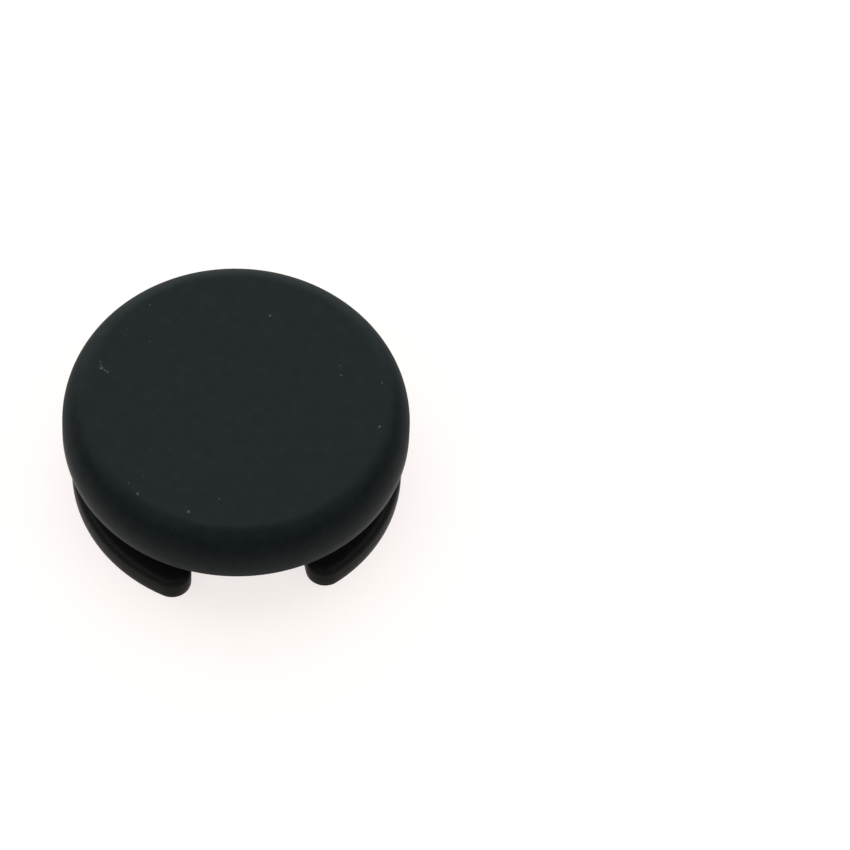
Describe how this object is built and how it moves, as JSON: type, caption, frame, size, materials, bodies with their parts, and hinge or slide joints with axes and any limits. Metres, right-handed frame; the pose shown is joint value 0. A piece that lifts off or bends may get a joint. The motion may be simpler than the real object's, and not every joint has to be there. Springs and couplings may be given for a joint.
{
  "type": "thumbstick cap",
  "caption": "Round soft rubber cap for a sliding thumb control: flat thumb plate with a rounded rim, short boss, and a thinner flange cut open at the front into horns.",
  "frame": {"origin": "on the axis of the round thumb plate, in the plane of the flange's underside", "axes": "+Z out of the thumb face; the opening between the flange's horns faces -Y; +X to the right of someone who looks along +Y"},
  "size_m": [0.017, 0.017, 0.0054],
  "materials": {
    "soft_touch_rubber": "moulded black rubber, fine matt soft-touch on the thumb plate, coarser spark-eroded grain below"
  },
  "bodies": {
    "root": {"thumbstick_cap": "soft_touch_rubber"}
  },
  "joints": []
}
